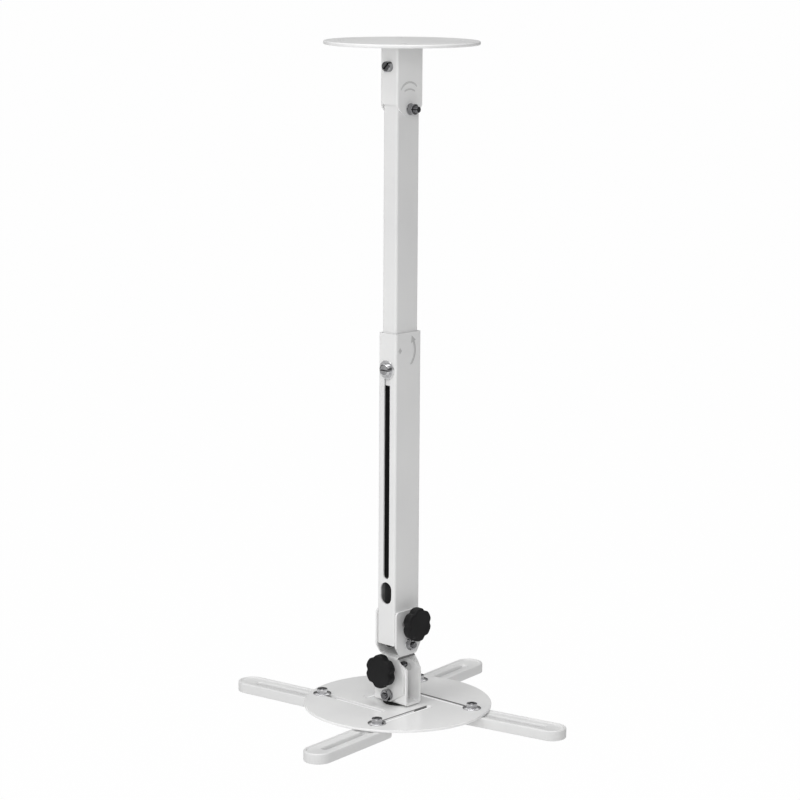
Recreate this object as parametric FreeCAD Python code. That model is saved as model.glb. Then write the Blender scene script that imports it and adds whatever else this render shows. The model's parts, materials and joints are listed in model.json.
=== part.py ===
import FreeCAD, Part
import math
import os

# Telescopic ceiling mount for a projector, in millimetres, +Z up.
# The origin is the centre of the ceiling plate's upper face.

V = FreeCAD.Vector

# fits shared by every joint
pin_r = 3.0              # M6 shank
pin_fit = 0.05           # radial running fit of a shank in a round hole
slot_play = 0.3          # shank to slot wall, each side
face_gap = 0.1           # flat faces that slide on one another
hole_r = pin_r + pin_fit
slot_r = pin_r + slot_play

# M6 hardware
hex_af = 10.0
nut_h = 5.0
head_h = 4.0
washer_r, washer_t = 5.6, 1.4
wide_washer_r, wide_washer_t = 9.0, 1.6
end_h = 2.2              # shank standing out past a nut
driver_w = 1.5             # driver slots, half as deep as their heads

# ceiling plate
ceiling_r, ceiling_t = 73.0, 3.5
ceiling_edge = 1.2       # rounding of the rim
ceiling_hole_pcd, ceiling_hole_r, ceiling_holes = 112.0, 3.25, 4

# telescopic tubes, x by y, with the inner one running in the outer one
outer_w, outer_d, outer_wall = 22.4, 35.4, 1.5
tube_gap = 0.8
inner_w = outer_w - 2 * (outer_wall + tube_gap)
inner_d = outer_d - 2 * (outer_wall + tube_gap)
inner_wall = 1.4
tube_corner = 2.3
inner_len, outer_len = 316.8, 303.2
overlap = 50.2                           # inner tube inside the outer one, drawn out
top_gap = 2.7                            # clears the ceiling plate when the mast tilts
inner_top = -ceiling_t - top_gap
inner_bottom = inner_top - inner_len
outer_top = inner_bottom + overlap
outer_bottom = outer_top - outer_len

# hood bracket under the ceiling plate
hood_t = 1.8
hood_gap = 0.2
hood_x = inner_w / 2 + hood_gap          # inside of an ear
hood_y = inner_d / 2 + hood_gap          # inside of the web
hood_fold_r = 0.3                        # inside rounding of the folds
hood_lip = 1.2                           # open edge of the ears past the tube
web_len = 54.9
pivot_drop, ear_drop = 4.3, 6.2          # web to pivot, pivot to the ears' lower end
lock_drop = 19.7
hood_back = inner_d / 2 + hood_lip
hood_web_bottom = -ceiling_t - web_len
ceiling_pivot_z = hood_web_bottom - pivot_drop
hood_ear_bottom = ceiling_pivot_z - ear_drop
lock_screw_z = -ceiling_t - lock_drop
lock_head_r, lock_head_h, lock_edge, lock_turn = 5.0, 5.0, 0.8, -46.0
pivot_end_h = 4.6                        # shank past the nut of the hood pivot

# slide clamp on the narrow face
clamp_drop = 34.5                        # outer tube's top to the screw
slide_z = outer_top - clamp_drop
slot_foot = 68.7                         # slot's lower end centre to the tube's lower end
slide_travel = outer_len - clamp_drop - slot_foot
slide_play = 0.7                         # shank to the tube's slot, each side
slide_head_r, slide_head_h, slide_edge = 6.0, 3.6, 1.6
slide_washer_t = 1.2
slide_nut_half = 5.0                     # square nut inside the inner tube
cable_hole_rise, cable_hole_w, cable_hole_h = 50.9, 13.8, 21.4
cable_hole_z = outer_bottom + cable_hole_rise

# gimbal link: two folded brackets set crosswise, web on web; heights count from its two pivots
link_t = 2.2
pitch_z = outer_bottom                   # pivot at the tube's end
pitch_radius = 21.2                      # pivot to the upper clamp bolt
pitch_clamp_z = pitch_z + pitch_radius
link_x = outer_w / 2 + slot_play         # inside of an upper ear
ear_rise, waist_drop, web_drop = 33.5, 1.6, 10.2
link_top = pitch_z + ear_rise
upper_ear_waist_z = pitch_z - waist_drop
link_web_top = pitch_z - web_drop
link_web_bottom = link_web_top - link_t
lower_web_bottom = link_web_bottom - link_t
link_y = 10.6                            # inside of a lower ear
ear_inset = 0.5
upper_ear_half = outer_d / 2 - ear_inset
upper_ear_foot = 10.5
upper_ear_corner = 4.0
roll_drop, roll_radius = 40.9, 25.8      # web to the roll pivot, pivot to the lower clamp bolt
roll_z = link_web_top - roll_drop
roll_clamp_z = roll_z + roll_radius
lower_ear_half = 18.8
lower_ear_neck = 11.0
neck_rise, shoulder_rise, hip_rise = 36.0, 21.5, 5.6
shoulder_in, shoulder_fall = 2.9, 6.7    # middle of the shoulder's arc, from the side and the neck
hip_mid_in, hip_mid_fall, hip_in, hip_fall = 0.8, 2.9, 2.9, 4.0
bend_r = 3.2                             # outside radius of the folds
tongue_r = 8.0                           # end of the tube's wide walls
lobe_r = 7.0                             # end of a lower ear

# base yoke under the link
yoke_t = 2.2
yoke_half = 20.4
yoke_y = link_y - 0.15                   # outside of an ear
yoke_drop = 8.6                          # pivot to its underside
yoke_bottom = roll_z - yoke_drop
yoke_bend_r = 2.6
yoke_crown = 8.0                         # clamp bolt to the top of an ear
yoke_top_r = roll_radius + yoke_crown
tilt_range = 15.0                        # degrees, both ways, pitch and roll
arc_half_w = pin_r + 0.4

# swivel and base plate
disc_r, disc_t = 14.3, 1.2
swivel_head_r, swivel_head_h = 5.5, 2.4
base_r, base_t, base_edge = 91.0, 2.5, 0.6
base_top = yoke_bottom - disc_t - face_gap
base_bottom = base_top - base_t
slot_rim = 20.5                          # rim to a slot's outer end centre
slot_len = 79.0
slot_offset = 32.6                       # slot line to the swivel axis
slot_out = base_r - slot_rim             # slot end centres along the line
slot_in = slot_out - slot_len

# arms, one to each slot, a quarter turn apart
arm_names = ("left", "front", "right", "back")
bolt_back = (0.0, 6.0, 3.5, 3.5)         # slot's outer end to each bolt
arm_turn = (6.7, 5.3, 10.0, 6.6)         # degrees off the slot line
arm_r, arm_span, arm_h = 14.0, 88.0, 10.0
arm_top_edge, arm_bottom_edge = 2.0, 0.8
arm_top = base_bottom - face_gap
arm_bottom = arm_top - arm_h
channel_half, channel_depth = 7.5, 1.6
arm_slot_r = 3.3
slot_near, slot_far = 20.0, 10.0         # slot end centres from the bolt and from the far end's centre
bolt_seat_r, bolt_seat_depth = 7.0, 3.6
bolt_head_r, bolt_head_h, bolt_head_edge = 6.5, 3.0, 1.8

# clamp knobs
knob_r, knob_h, knob_edge, knob_back_edge = 16.3, 10.0, 2.2, 2.0
knob_reach = 18.1                        # tube's wide face to the knob's face
knob_face = outer_w / 2 + knob_reach
knob_lobes, knob_notch_r, knob_notch_depth = 6, 7.0, 1.9
knob_hub_r, knob_hub_taper = 8.0, 1.5
knob_wall = 3.0                          # plastic left over the end of the bolt

past = outer_d                           # how far a cutter runs beyond what it cuts


def box(x0, x1, y0, y1, z0, z1):
    return Part.makeBox(x1 - x0, y1 - y0, z1 - z0, V(x0, y0, z0))


def rod(axis, r, a, b, at=(0.0, 0.0)):
    """Cylinder along an axis from a to b; at holds the two other coordinates in order."""
    lo, hi = min(a, b), max(a, b)
    base, way = {"x": (V(lo, at[0], at[1]), V(1, 0, 0)),
                 "y": (V(at[0], lo, at[1]), V(0, 1, 0)),
                 "z": (V(at[0], at[1], lo), V(0, 0, 1))}[axis]
    return Part.makeCylinder(r, hi - lo, base, way)


def put(plane, u, v, lo):
    return {"yz": V(lo, u, v), "xz": V(u, lo, v), "xy": V(u, v, lo)}[plane]


def sheet(plane, lo, hi, start, *steps):
    """Solid between lo and hi across a plane; a step is a point, or a mid point and an end for an arc."""
    here = put(plane, start[0], start[1], lo)
    edges = []
    for step in steps:
        points = [put(plane, u, v, lo) for u, v in step]
        if len(points) == 1:
            edges.append(Part.makeLine(here, points[0]))
        else:
            edges.append(Part.Arc(here, points[0], points[1]).toShape())
        here = points[-1]
    first = put(plane, start[0], start[1], lo)
    if (here - first).Length > 1e-6:
        edges.append(Part.makeLine(here, first))
    face = Part.Face(Part.Wire(edges))
    return face.extrude(put(plane, 0, 0, hi - lo))


def polygon(plane, lo, hi, points):
    return sheet(plane, lo, hi, points[0], *[(p,) for p in points[1:]])


def hexagon(axis, af, a, b, at=(0.0, 0.0)):
    plane = {"x": "yz", "y": "xz", "z": "xy"}[axis]
    r = af / math.sqrt(3)
    ring = [(at[0] + r * math.cos(math.radians(60 * k)),
             at[1] + r * math.sin(math.radians(60 * k))) for k in range(6)]
    body = polygon(plane, min(a, b), max(a, b), ring)
    return body.common(rod(axis, af * 0.56, a, b, at))


def obround(plane, lo, hi, c0, c1, r):
    """Slot-shaped solid with end centres c0 and c1."""
    du, dv = c1[0] - c0[0], c1[1] - c0[1]
    n = math.hypot(du, dv)
    tu, tv = du / n * r, dv / n * r
    nu, nv = -tv, tu
    return sheet(plane, lo, hi, (c0[0] + nu, c0[1] + nv),
                 ((c0[0] - tu, c0[1] - tv), (c0[0] - nu, c0[1] - nv)),
                 ((c1[0] - nu, c1[1] - nv),),
                 ((c1[0] + tu, c1[1] + tv), (c1[0] + nu, c1[1] + nv)))


def arc_slot(plane, lo, hi, centre_v, radius, half_angle, half_w):
    """Curved slot standing over a pivot at (0, centre_v)."""
    def at(r, deg):
        return (r * math.sin(math.radians(deg)), centre_v + r * math.cos(math.radians(deg)))
    ri, ro = radius - half_w, radius + half_w
    cap = math.degrees(half_w / radius)
    return sheet(plane, lo, hi, at(ro, -half_angle), (at(ro, 0), at(ro, half_angle)),
                 (at(radius, half_angle + cap), at(ri, half_angle)),
                 (at(ri, 0), at(ri, -half_angle)),
                 (at(radius, -half_angle - cap), at(ro, -half_angle)))


def bar(w, d, corner, z0, z1):
    """Upright bar of rounded rectangular section."""
    solid = box(-w / 2, w / 2, -d / 2, d / 2, z0, z1)
    upright = [e for e in solid.Edges if abs(e.Vertexes[0].Z - e.Vertexes[-1].Z) > 1]
    return solid.makeFillet(corner, upright)


def tube(w, d, wall, z0, z1):
    return bar(w, d, tube_corner, z0, z1).cut(
        bar(w - 2 * wall, d - 2 * wall, tube_corner - wall, z0 - 1, z1 + 1))


def edges_at(solid, test):
    return [e for e in solid.Edges if test(e.BoundBox)]


def ring_washer(axis, r, a, b, at=(0.0, 0.0)):
    return rod(axis, r, a, b, at).cut(rod(axis, hole_r, a - 1, b + 1, at)
                                      if a < b else rod(axis, hole_r, a + 1, b - 1, at))


def through_bolt(axis, half, at, end=end_h):
    """Hex bolt, nut and two washers clamped over a pack reaching half each way; nut on the + side."""
    out = half + washer_t
    bolt = hexagon(axis, hex_af, -out - head_h, -out, at).fuse(
        rod(axis, pin_r, -out, out + nut_h + end, at)).removeSplitter()
    nut = hexagon(axis, hex_af, out, out + nut_h, at).cut(rod(axis, pin_r, out - 1, out + nut_h + 1, at))
    washers = Part.makeCompound([ring_washer(axis, washer_r, half, out, at),
                                 ring_washer(axis, washer_r, -out, -half, at)])
    return bolt, nut, washers


def mirror_y(shape):
    return shape.mirror(V(0, 0, 0), V(0, 1, 0))


def slotted_screw(at, seat, tip, head_r, head_height, edge, notch_deg):
    """Pan-head screw along Y with a driver slot; seat is the face under its head."""
    head = rod("y", head_r, seat - head_height, seat, at)
    rim = edges_at(head, lambda b: b.YMax < seat - head_height + 0.01)
    head = head.makeFillet(edge, rim)
    notch = box(-head_r, head_r, seat - head_height - 1, seat - head_height / 2,
                -driver_w / 2, driver_w / 2)
    notch.rotate(V(0, 0, 0), V(0, 1, 0), notch_deg)
    notch.translate(V(at[0], 0, at[1]))
    return head.cut(notch).fuse(rod("y", pin_r, seat, tip, at)).removeSplitter()


def make_knob(axis, sign, at):
    """Six-lobed knob on a tapered hub, its face at knob_face."""
    back = knob_face - knob_h
    seat = {"x": link_x + link_t, "y": link_y + link_t}[axis] + 2 * face_gap + washer_t
    edge = knob_edge
    rim = back + knob_back_edge
    profile = [(0, seat), (knob_hub_r - knob_hub_taper, seat), (knob_hub_r, back),
               (knob_r - knob_back_edge, back), (knob_r, rim), (knob_r, knob_face - edge)]
    lines = [Part.makeLine(V(a[0], 0, a[1]), V(b[0], 0, b[1])) for a, b in zip(profile, profile[1:])]
    mid = knob_r - edge * (1 - math.sqrt(0.5)), knob_face - edge * (1 - math.sqrt(0.5))
    lines.append(Part.Arc(V(knob_r, 0, knob_face - edge), V(mid[0], 0, mid[1]),
                          V(knob_r - edge, 0, knob_face)).toShape())
    lines += [Part.makeLine(V(knob_r - edge, 0, knob_face), V(0, 0, knob_face)),
              Part.makeLine(V(0, 0, knob_face), V(0, 0, seat))]
    solid = Part.Face(Part.Wire(lines)).revolve(V(0, 0, 0), V(0, 0, 1), 360)
    for k in range(knob_lobes):
        a = math.radians(360 / knob_lobes * k)
        reach = knob_r + knob_notch_r - knob_notch_depth
        solid = solid.cut(rod("z", knob_notch_r, back - 1, knob_face + 1,
                              (reach * math.cos(a), reach * math.sin(a))))
    solid = solid.cut(rod("z", hole_r, seat - 1, knob_face - knob_wall))
    turn = {"x": (V(0, 1, 0), 90), "y": (V(1, 0, 0), 90)}[axis]
    solid.rotate(V(0, 0, 0), turn[0], turn[1])
    if (axis == "x" and sign < 0) or (axis == "y" and sign > 0):
        solid = solid.mirror(V(0, 0, 0), V(1, 0, 0) if axis == "x" else V(0, 1, 0))
    solid.translate(V(0, at[0], at[1]) if axis == "x" else V(at[0], 0, at[1]))
    return solid


def knob_bolt(axis, sign, half, at):
    """Bolt of a knob with its hex head on the far side, and the washers at both ears."""
    seat = half + face_gap
    far = -sign * (seat + washer_t)
    near = sign * (knob_face - knob_wall - 0.2)
    bolt = hexagon(axis, hex_af, far - sign * head_h, far, at).fuse(
        rod(axis, pin_r, far, near, at)).removeSplitter()
    washers = Part.makeCompound([ring_washer(axis, washer_r, seat, seat + washer_t, at),
                                 ring_washer(axis, washer_r, -seat - washer_t, -seat, at)])
    return bolt, washers


nodes = {}

# ceiling plate and hood bracket
plate = rod("z", ceiling_r, -ceiling_t, 0)
plate = plate.makeFillet(ceiling_edge, edges_at(plate, lambda b: b.XLength > ceiling_r))
for k in range(ceiling_holes):
    a = math.radians(45 + 360 / ceiling_holes * k)
    plate = plate.cut(rod("z", ceiling_hole_r, -ceiling_t - 1, 1,
                          (ceiling_hole_pcd / 2 * math.cos(a), ceiling_hole_pcd / 2 * math.sin(a))))
nodes["ceiling_plate"] = plate

hood_out_x, hood_out_y = hood_x + hood_t, hood_y + hood_t
hood = box(-hood_out_x, hood_out_x, -hood_out_y, hood_back, hood_ear_bottom - past, -ceiling_t)
hood = hood.makeFillet(hood_t + hood_gap, edges_at(hood, lambda b: b.ZLength > web_len and b.YMax < 0))
hollow = box(-hood_x, hood_x, -hood_y, hood_back + past, hood_ear_bottom - 2 * past, 0)
hollow = hollow.makeFillet(hood_fold_r, edges_at(hollow, lambda b: b.ZLength > web_len and b.YMax < 0))
hood = hood.cut(hollow).common(sheet(
    "yz", -past, past, (-hood_out_y, 0), ((-hood_out_y, hood_web_bottom),),
    ((0, hood_ear_bottom), (hood_out_y, hood_web_bottom)), ((hood_out_y, 0),)))
hood = hood.cut(box(-hood_x + hood_fold_r, hood_x - hood_fold_r, -past, -hood_y + hood_fold_r,
                    hood_ear_bottom - past, hood_web_bottom))
hood = hood.cut(rod("x", hole_r, -past, past, (0, ceiling_pivot_z)))
hood = hood.cut(rod("y", hole_r, -past, -hood_y + hood_t, (0, lock_screw_z)))
nodes["ceiling_bracket"] = hood
nodes["bracket_lock_screw"] = slotted_screw((0, lock_screw_z), -hood_out_y, -hood_y - 0.05,
                                            lock_head_r, lock_head_h, lock_edge, lock_turn)
bolt, nut, washers = through_bolt("x", hood_out_x, (0, ceiling_pivot_z), pivot_end_h)
nodes["ceiling_pivot_bolt"], nodes["ceiling_pivot_nut"] = bolt, nut
nodes["ceiling_pivot_washers"] = washers

# inner tube with its slide clamp
inner = tube(inner_w, inner_d, inner_wall, inner_bottom, inner_top)
inner = inner.cut(rod("x", hole_r, -past, past, (0, ceiling_pivot_z)))
inner = inner.cut(rod("y", hole_r, -past, 0, (0, slide_z)))
nodes["inner_tube"] = inner
washer_seat = -outer_d / 2 - face_gap
head_seat = washer_seat - slide_washer_t
nut_face = -inner_d / 2 + inner_wall
nodes["slide_clamp_screw"] = slotted_screw((0, slide_z), head_seat, nut_face + nut_h + 1,
                                           slide_head_r, slide_head_h, slide_edge, 0)
nodes["slide_clamp_washer"] = ring_washer("y", wide_washer_r, head_seat, washer_seat, (0, slide_z))
nodes["slide_clamp_nut"] = box(-slide_nut_half, slide_nut_half, nut_face, nut_face + nut_h,
                               slide_z - slide_nut_half, slide_z + slide_nut_half).cut(
    rod("y", pin_r, -past, 0, (0, slide_z)))

# outer tube: wide walls end in round tongues about the pitch pivot
outer = tube(outer_w, outer_d, outer_wall, pitch_z - tongue_r, outer_top)
beyond = box(-past, past, -past, past, pitch_z - past, outer_bottom).cut(
    rod("x", tongue_r, -2 * past, 2 * past, (0, pitch_z)))
outer = outer.cut(beyond)
outer = outer.cut(obround("xz", -past, 0, (0, slide_z - slide_travel), (0, slide_z), pin_r + slide_play))
half_len = (cable_hole_h - cable_hole_w) / 2
outer = outer.cut(obround("xz", -past, 0, (0, cable_hole_z - half_len), (0, cable_hole_z + half_len),
                          cable_hole_w / 2))
for z in (pitch_z, pitch_clamp_z):
    outer = outer.cut(rod("x", hole_r, -past, past, (0, z)))
nodes["outer_tube"] = outer

# gimbal link, upper bracket: two ears folded up at +-X
ear_x, ear_y = link_x + link_t, link_y + link_t
fold = box(-ear_x, ear_x, -upper_ear_half, upper_ear_half, link_web_bottom, link_top)
fold = fold.makeFillet(bend_r, edges_at(
    fold, lambda b: b.YLength > upper_ear_half and b.ZMax < link_web_bottom + 0.1))
inside = box(-link_x, link_x, -past, past, link_web_top, link_top + past)
inside = inside.makeFillet(bend_r - link_t, edges_at(
    inside, lambda b: b.YLength > past and b.ZMax < link_web_top + 0.1))
top_r = upper_ear_corner
k45 = top_r * (1 - math.sqrt(0.5))
h, f = upper_ear_half, upper_ear_foot
upper = fold.cut(inside).common(sheet(
    "yz", -past, past, (-f, link_web_bottom), ((f, link_web_bottom),), ((h, upper_ear_waist_z),),
    ((h, link_top - top_r),), ((h - k45, link_top - k45), (h - top_r, link_top)),
    ((-h + top_r, link_top),), ((-h + k45, link_top - k45), (-h, link_top - top_r)),
    ((-h, upper_ear_waist_z),)))
upper = upper.cut(rod("x", hole_r, -past, past, (0, pitch_z)))
nodes["gimbal_upper_bracket"] = upper.cut(
    arc_slot("yz", -past, past, pitch_z, pitch_radius, tilt_range + 0.6, arc_half_w))

# lower bracket: two ears folded down at +-Y
lobe_bottom = roll_z - lobe_r
fold = box(-lower_ear_half, lower_ear_half, -ear_y, ear_y, lobe_bottom, link_web_bottom)
fold = fold.makeFillet(bend_r, edges_at(
    fold, lambda b: b.XLength > lower_ear_half and b.ZMin > link_web_bottom - 0.1))
inside = box(-past, past, -link_y, link_y, lobe_bottom - past, lower_web_bottom)
inside = inside.makeFillet(bend_r - link_t, edges_at(
    inside, lambda b: b.XLength > past and b.ZMin > lower_web_bottom - 0.1))
n, h = lower_ear_neck, lower_ear_half
neck_z, shoulder_z, hip_z = roll_z + neck_rise, roll_z + shoulder_rise, roll_z + hip_rise
shoulder_mid = (h - shoulder_in, neck_z - shoulder_fall)
hip_mid, hip = (h - hip_mid_in, hip_z - hip_mid_fall), (h - hip_in, hip_z - hip_fall)
away = math.hypot(hip[0], hip[1] - roll_z)
touch = math.atan2(hip[1] - roll_z, hip[0]) - math.acos(lobe_r / away)
tx, tz = lobe_r * math.cos(touch), roll_z + lobe_r * math.sin(touch)
lower = fold.cut(inside).common(sheet(
    "xz", -past, past, (-n, link_web_bottom), ((n, link_web_bottom),), ((n, neck_z),),
    (shoulder_mid, (h, shoulder_z)), ((h, hip_z),), (hip_mid, hip), ((tx, tz),), ((0, lobe_bottom), (-tx, tz)),
    ((-hip[0], hip[1]),), ((-hip_mid[0], hip_mid[1]), (-h, hip_z)), ((-h, shoulder_z),),
    ((-shoulder_mid[0], shoulder_mid[1]), (-n, neck_z))))
for z in (roll_z, roll_clamp_z):
    lower = lower.cut(rod("y", hole_r, -past, past, (0, z)))
nodes["gimbal_lower_bracket"] = lower

bolt, nut, washers = through_bolt("x", ear_x, (0, pitch_z))
nodes["pitch_pivot_bolt"], nodes["pitch_pivot_nut"], nodes["pitch_pivot_washers"] = bolt, nut, washers
bolt, nut, washers = [mirror_y(s) for s in through_bolt("y", ear_y, (0, roll_z))]
nodes["roll_pivot_bolt"], nodes["roll_pivot_nut"], nodes["roll_pivot_washers"] = bolt, nut, washers

# clamp knobs
nodes["upper_knob"] = make_knob("x", 1, (0, pitch_clamp_z))
nodes["upper_clamp_bolt"], nodes["upper_clamp_washers"] = knob_bolt("x", 1, ear_x, (0, pitch_clamp_z))
nodes["lower_knob"] = make_knob("y", -1, (0, roll_clamp_z))
nodes["lower_clamp_bolt"], nodes["lower_clamp_washers"] = knob_bolt("y", -1, ear_y, (0, roll_clamp_z))

# base yoke on its swivel
yoke_in = yoke_y - yoke_t
fold = box(-yoke_half, yoke_half, -yoke_y, yoke_y, yoke_bottom, roll_z + yoke_top_r + yoke_t)
fold = fold.makeFillet(yoke_bend_r, edges_at(
    fold, lambda b: b.XLength > yoke_half and b.ZMax < yoke_bottom + 0.1))
inside = box(-past, past, -yoke_in, yoke_in, yoke_bottom + yoke_t, 0)
inside = inside.makeFillet(yoke_bend_r - yoke_t, edges_at(
    inside, lambda b: b.XLength > past and b.ZMax < yoke_bottom + yoke_t + 0.1))
shoulder = roll_z + math.sqrt(yoke_top_r ** 2 - yoke_half ** 2)
yoke = fold.cut(inside).common(sheet(
    "xz", -past, past, (-yoke_half, yoke_bottom), ((yoke_half, yoke_bottom),), ((yoke_half, shoulder),),
    ((0, roll_z + yoke_top_r), (-yoke_half, shoulder))))
yoke = yoke.cut(rod("y", hole_r, -past, past, (0, roll_z)))
yoke = yoke.cut(arc_slot("xz", -past, past, roll_z, roll_radius, tilt_range + 0.6, arc_half_w))
nodes["base_yoke"] = yoke.cut(rod("z", hole_r, yoke_bottom - 1, yoke_bottom + 5))

web_top = yoke_bottom + yoke_t
under = base_bottom - face_gap
nodes["swivel_disc"] = rod("z", disc_r, yoke_bottom - disc_t, yoke_bottom).cut(
    rod("z", pin_r, yoke_bottom - 5, yoke_bottom + 1))
nodes["swivel_bolt"] = rod("z", swivel_head_r, web_top, web_top + swivel_head_h).fuse(
    rod("z", pin_r, under - washer_t - nut_h - 1, web_top)).removeSplitter()
nodes["swivel_washer"] = ring_washer("z", wide_washer_r, under - washer_t, under)
nodes["swivel_nut"] = hexagon("z", hex_af, under - washer_t - nut_h, under - washer_t).cut(
    rod("z", pin_r, under - past, under))

# base plate with four slots set like a pinwheel
base = rod("z", base_r, base_bottom, base_top)
base = base.makeFillet(base_edge, edges_at(base, lambda b: b.XLength > base_r))
base = base.cut(rod("z", hole_r, base_bottom - 1, base_top + 1))


def on_line(way_deg, s):
    """Point at s along the slot line that runs out in a direction, slot_offset to its left."""
    c, w = math.cos(math.radians(way_deg)), math.sin(math.radians(way_deg))
    return (s * c - slot_offset * w, s * w + slot_offset * c)


arms = [(name, 180.0 + 90.0 * k, slot_out - bolt_back[k], arm_turn[k]) for k, name in enumerate(arm_names)]
for name, way, place, turn in arms:
    base = base.cut(obround("xy", base_bottom - 1, base_top + 1, on_line(way, slot_in),
                            on_line(way, slot_out), slot_r))
nodes["base_plate"] = base

# arms with their carriage bolts
stack = base_top + face_gap / 2
for name, way, place, turn in arms:
    arm = obround("xy", arm_bottom, arm_top, (0, 0), (arm_span, 0), arm_r)
    arm = arm.makeFillet(arm_top_edge, edges_at(arm, lambda b: b.ZMin > arm_top - 0.01))
    arm = arm.makeFillet(arm_bottom_edge, edges_at(arm, lambda b: b.ZMax < arm_bottom + 0.01))
    run = (slot_near, 0), (arm_span - slot_far, 0)
    arm = arm.cut(obround("xy", arm_top - channel_depth, arm_top + 1, *run, channel_half))
    arm = arm.cut(obround("xy", arm_bottom - 1, arm_top, *run, arm_slot_r))
    arm = arm.cut(rod("z", hole_r, arm_bottom - 1, arm_top + 1))
    arm = arm.cut(rod("z", bolt_seat_r, arm_bottom - 1, arm_bottom + bolt_seat_depth))
    seat = arm_bottom + bolt_seat_depth - face_gap
    head = rod("z", bolt_head_r, seat - bolt_head_h, seat)
    head = head.makeFillet(bolt_head_edge, edges_at(head, lambda b: b.ZMax < seat - bolt_head_h + 0.01))
    nut_base = stack + wide_washer_t
    parts = {
        "arm_" + name: arm,
        "arm_bolt_" + name: head.fuse(rod("z", pin_r, seat, nut_base + nut_h + end_h)).removeSplitter(),
        "arm_washer_" + name: ring_washer("z", wide_washer_r, stack, nut_base),
        "arm_nut_" + name: hexagon("z", hex_af, nut_base, nut_base + nut_h).cut(
            rod("z", pin_r, stack, nut_base + past)),
    }
    x, y = on_line(way, place)
    for key, solid in parts.items():
        solid.rotate(V(0, 0, 0), V(0, 0, 1), way + turn)
        solid.translate(V(x, y, 0))
        nodes[key] = solid

os.makedirs("parts", exist_ok=True)
for key, solid in nodes.items():
    solid.exportStep("parts/%s.step" % key)
    print(key, len(solid.Solids), solid.isValid(), round(solid.Volume, 1))
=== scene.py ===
import json
import math

import bpy
import numpy as np
from mathutils import Matrix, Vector
from mathutils.geometry import tessellate_polygon


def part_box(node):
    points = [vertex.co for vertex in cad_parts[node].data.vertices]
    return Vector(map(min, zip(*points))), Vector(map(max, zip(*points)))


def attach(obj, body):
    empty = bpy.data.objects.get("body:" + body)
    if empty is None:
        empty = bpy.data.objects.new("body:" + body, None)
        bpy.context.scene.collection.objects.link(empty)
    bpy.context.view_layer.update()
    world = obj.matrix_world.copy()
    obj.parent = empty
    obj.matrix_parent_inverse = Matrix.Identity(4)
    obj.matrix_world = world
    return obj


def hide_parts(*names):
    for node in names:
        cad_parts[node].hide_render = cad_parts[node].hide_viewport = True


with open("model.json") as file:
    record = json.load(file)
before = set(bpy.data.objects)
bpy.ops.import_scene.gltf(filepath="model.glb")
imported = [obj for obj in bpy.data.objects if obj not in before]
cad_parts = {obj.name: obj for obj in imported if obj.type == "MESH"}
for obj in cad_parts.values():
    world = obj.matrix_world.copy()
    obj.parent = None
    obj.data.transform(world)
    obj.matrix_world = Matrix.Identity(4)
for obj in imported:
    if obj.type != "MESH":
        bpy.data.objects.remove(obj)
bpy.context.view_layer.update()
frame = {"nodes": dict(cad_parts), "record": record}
armNames = ("left", "front", "right", "back")
print("frame loaded:", len(frame["nodes"]), "nodes")


# helpers that put arrays into meshes


def nodeBox(node):
    # low and high corner of a node's box, in millimetres
    low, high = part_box(node)
    return np.array(low) * 1000, np.array(high) * 1000


def gridFaces(rows, cols, closeRows, closeCols):
    # quads between neighbouring grid points, wrapping where a direction is closed
    i = np.arange(rows if closeRows else rows - 1)
    j = np.arange(cols if closeCols else cols - 1)
    i, j = (g.ravel() for g in np.meshgrid(i, j, indexing="ij"))
    iNext, jNext = (i + 1) % rows, (j + 1) % cols
    return np.stack([i * cols + j, i * cols + jNext, iNext * cols + jNext, iNext * cols + j], axis=1)


def meshFromFaces(name, points, faces, sharp):
    # smooth mesh, creased where two faces meet at more than the sharp angle in degrees
    mesh = bpy.data.meshes.new(name)
    mesh.from_pydata(points.tolist(), [], faces)
    mesh.polygons.foreach_set("use_smooth", np.ones(len(mesh.polygons), dtype=bool))
    mesh.set_sharp_from_angle(angle=math.radians(sharp))
    mesh.update()
    piece = bpy.data.objects.new(name, mesh)
    bpy.context.scene.collection.objects.link(piece)
    return piece


def meshFromGrid(name, grids, sharp, closeRows=False, closeCols=True, caps=False):
    # one mesh of several grids, each closed around or capped at its first and last row
    faces, start = [], 0
    for points in grids:
        rows, cols = points.shape[:2]
        end = start + rows * cols
        faces += (gridFaces(rows, cols, closeRows, closeCols) + start).tolist()
        if caps:
            faces += [list(range(start, start + cols))[::-1], list(range(end - cols, end))]
        start = end
    return meshFromFaces(name, np.concatenate([points.reshape(-1, 3) for points in grids]), faces, sharp)


def ringAngles(turns):
    # even angles once around, as one row
    return np.linspace(0, 2 * math.pi, turns, endpoint=False)[None, :]


def lowerEdge(radius, low, edge, count):
    # quarter circle from a lower face out to the rim, as pairs of radius and height
    bend = np.linspace(0, math.pi / 2, count)
    return [(radius - edge + edge * math.sin(b), low + edge - edge * math.cos(b)) for b in bend]


def upperEdge(radius, high, edge, count):
    # quarter circle from the rim in to an upper face, as pairs of radius and height
    bend = np.linspace(0, math.pi / 2, count)
    return [(radius - edge + edge * math.cos(b), high - edge + edge * math.sin(b)) for b in bend]


def axisFrame(axis, sign):
    # along, across and up vectors of a turned piece, right-handed for either sign
    along = {"x": (1, 0, 0), "y": (0, 1, 0), "z": (0, 0, 1)}[axis]
    along = np.array(along, dtype=float) * sign
    across = np.array({"x": (0, 1, 0), "y": (1, 0, 0), "z": (1, 0, 0)}[axis], dtype=float)
    return along, across, np.cross(along, across)


def turned(place, axis, sign, station, radius, angle):
    # point = place + station along the axis + radius at the angle around it, in millimetres
    along, across, up = axisFrame(axis, sign)
    station, radius, angle = np.broadcast_arrays(station, radius, angle)
    spin = np.cos(angle)[..., None] * across + np.sin(angle)[..., None] * up
    return (np.array(place) + station[..., None] * along + radius[..., None] * spin) / 1000.0


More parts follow.
